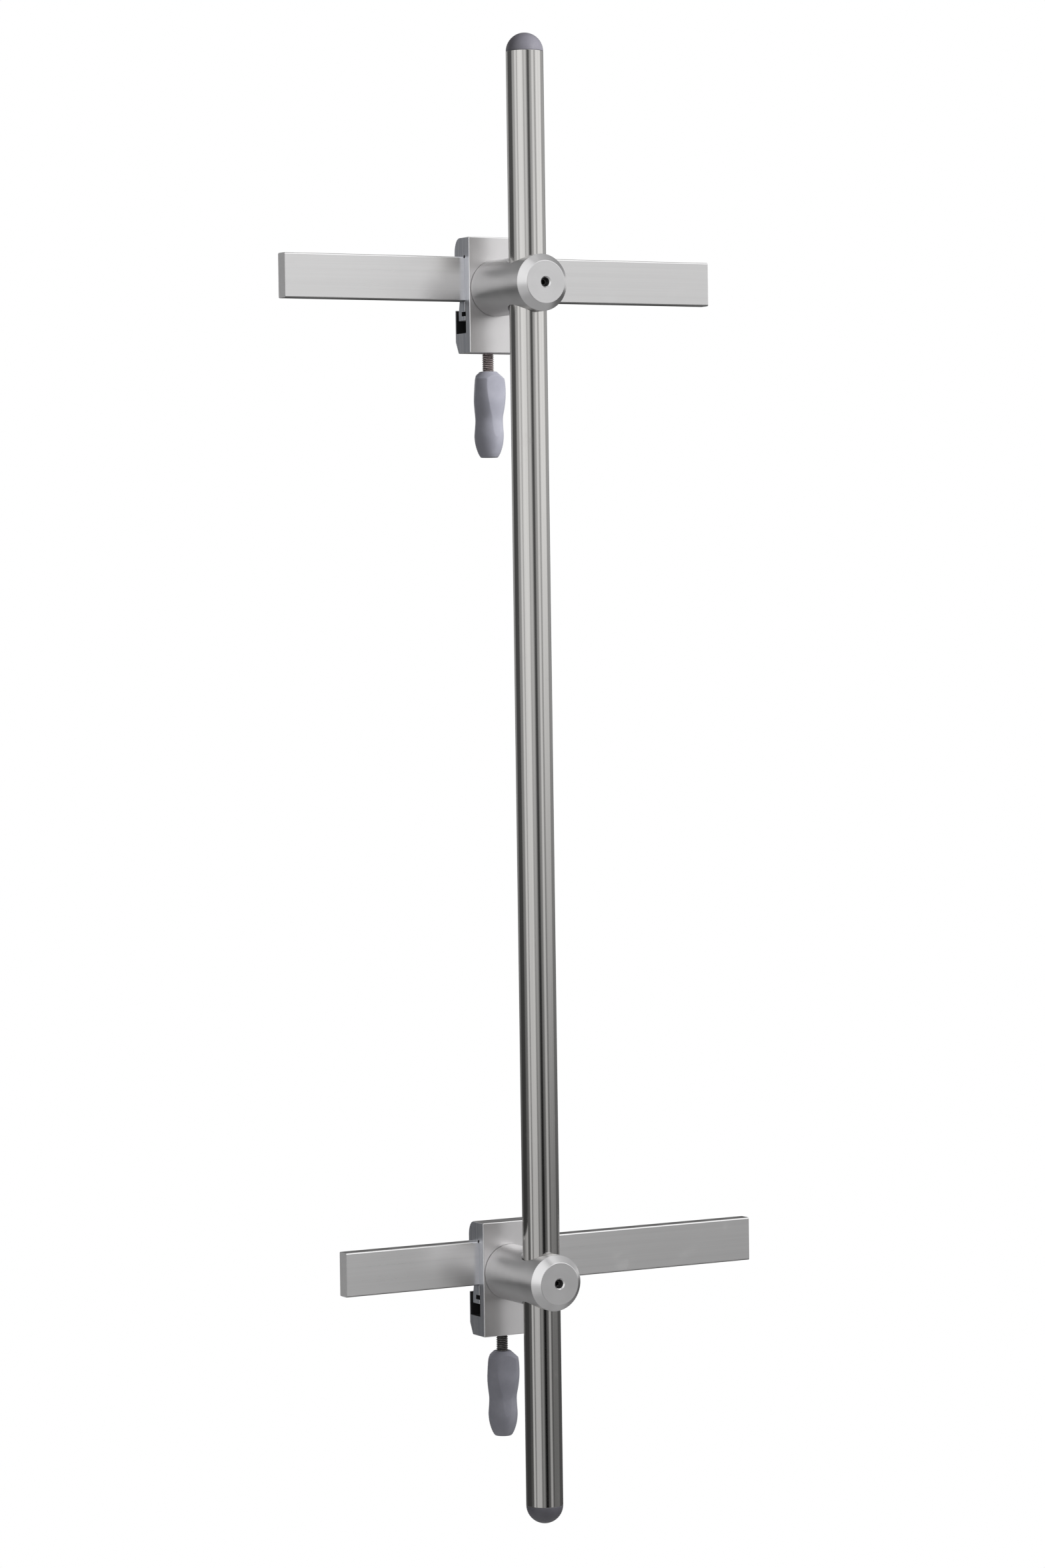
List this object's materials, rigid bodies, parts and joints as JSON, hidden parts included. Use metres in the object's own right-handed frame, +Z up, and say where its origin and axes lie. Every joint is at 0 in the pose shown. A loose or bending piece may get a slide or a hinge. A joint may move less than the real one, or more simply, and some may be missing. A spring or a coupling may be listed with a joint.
{
  "type": "infusion pole",
  "caption": "Rail-mounted infusion pole: a capped steel tube held upright by screw clamps that hook over flat equipment rails.",
  "frame": {"origin": "middle of the lower rail's back face, in line with the pole", "axes": "+X along the rails, to the right seen from the room; +Y into the wall; +Z up along the pole"},
  "size_m": [0.351, 0.0937, 1],
  "materials": {
    "pole_steel": "stainless tube, fine ground finish along its length",
    "rail_steel": "stainless flat bar, satin ground along its length",
    "block_aluminium": "clear anodised extrusion with sawn ends",
    "holder_aluminium": "fine turned and clear anodised",
    "jaw_aluminium": "sawn and tumbled extrusion",
    "plated_steel": "zinc plated",
    "black_steel": "black oxide",
    "spindle_steel": "rolled thread, bright steel",
    "cap_plastic": "moulded polyethylene, semi-matt",
    "handle_plastic": "glass-filled nylon, matt",
    "pad_plastic": "natural nylon"
  },
  "bodies": {
    "rails": {"upper_rail": "rail_steel", "lower_rail": "rail_steel"},
    "pole": {"pole_tube": "pole_steel", "top_end_cap": "cap_plastic", "bottom_end_cap": "cap_plastic"},
    "upper_clamp": {"upper_clamp_block": "block_aluminium", "upper_pole_holder": "holder_aluminium", "upper_holder_screw": "plated_steel", "upper_holder_dowel": "plated_steel"},
    "upper_jaw": {"upper_clamp_jaw": "jaw_aluminium", "upper_spindle_key": "plated_steel"},
    "upper_grip": {"upper_clamp_spindle": "spindle_steel", "upper_clamp_handle": "handle_plastic"},
    "upper_pad": {"upper_pressure_pad": "pad_plastic"},
    "upper_lock": {"upper_set_screw": "black_steel"},
    "lower_clamp": {"lower_clamp_block": "block_aluminium", "lower_pole_holder": "holder_aluminium", "lower_holder_screw": "plated_steel", "lower_holder_dowel": "plated_steel"},
    "lower_jaw": {"lower_clamp_jaw": "jaw_aluminium", "lower_spindle_key": "plated_steel"},
    "lower_grip": {"lower_clamp_spindle": "spindle_steel", "lower_clamp_handle": "handle_plastic"},
    "lower_pad": {"lower_pressure_pad": "pad_plastic"},
    "lower_lock": {"lower_set_screw": "black_steel"}
  },
  "joints": [
    {"name": "upper_clamp_slide", "type": "slide", "parent": "rails", "child": "upper_clamp", "axis": [1, 0, 0], "range_m": [-0.1, 0.15]},
    {"name": "lower_clamp_slide", "type": "slide", "parent": "rails", "child": "lower_clamp", "axis": [1, 0, 0], "range_m": [-0.1, 0.15]},
    {"name": "pole_slide", "type": "slide", "parent": "upper_clamp", "child": "pole", "axis": [0, 0, 1], "range_m": [-0.12, 0.12]},
    {"name": "upper_jaw_slide", "type": "slide", "parent": "upper_clamp", "child": "upper_jaw", "axis": [0, 0, 1], "range_m": [-0.008, 0]},
    {"name": "upper_grip_turn", "type": "hinge", "parent": "upper_jaw", "child": "upper_grip", "pos_m": [0, -0.0045, 0.606], "axis": [0, 0, 1], "range_deg": [-2304, 0]},
    {"name": "upper_pad_slide", "type": "slide", "parent": "upper_clamp", "child": "upper_pad", "axis": [0, 1, 0], "range_m": [-0.002, 0]},
    {"name": "upper_lock_turn", "type": "hinge", "parent": "upper_pad", "child": "upper_lock", "pos_m": [0, -0.08, 0.6615], "axis": [0, 1, 0], "range_deg": [-720, 0]},
    {"name": "lower_jaw_slide", "type": "slide", "parent": "lower_clamp", "child": "lower_jaw", "axis": [0, 0, 1], "range_m": [-0.008, 0]},
    {"name": "lower_grip_turn", "type": "hinge", "parent": "lower_jaw", "child": "lower_grip", "pos_m": [0, -0.0045, -0.062], "axis": [0, 0, 1], "range_deg": [-2304, 0]},
    {"name": "lower_pad_slide", "type": "slide", "parent": "lower_clamp", "child": "lower_pad", "axis": [0, 1, 0], "range_m": [-0.002, 0]},
    {"name": "lower_lock_turn", "type": "hinge", "parent": "lower_pad", "child": "lower_lock", "pos_m": [0, -0.08, -0.0065], "axis": [0, 1, 0], "range_deg": [-720, 0]}
  ],
  "couplings": [
    {"joint": "lower_clamp_slide", "follows": "upper_clamp_slide", "ratio": 1},
    {"joint": "upper_grip_turn", "follows": "upper_jaw_slide", "rad_per_m": 5026.5},
    {"joint": "upper_lock_turn", "follows": "upper_pad_slide", "rad_per_m": 6283.2},
    {"joint": "lower_grip_turn", "follows": "lower_jaw_slide", "rad_per_m": 5026.5},
    {"joint": "lower_lock_turn", "follows": "lower_pad_slide", "rad_per_m": 6283.2}
  ]
}
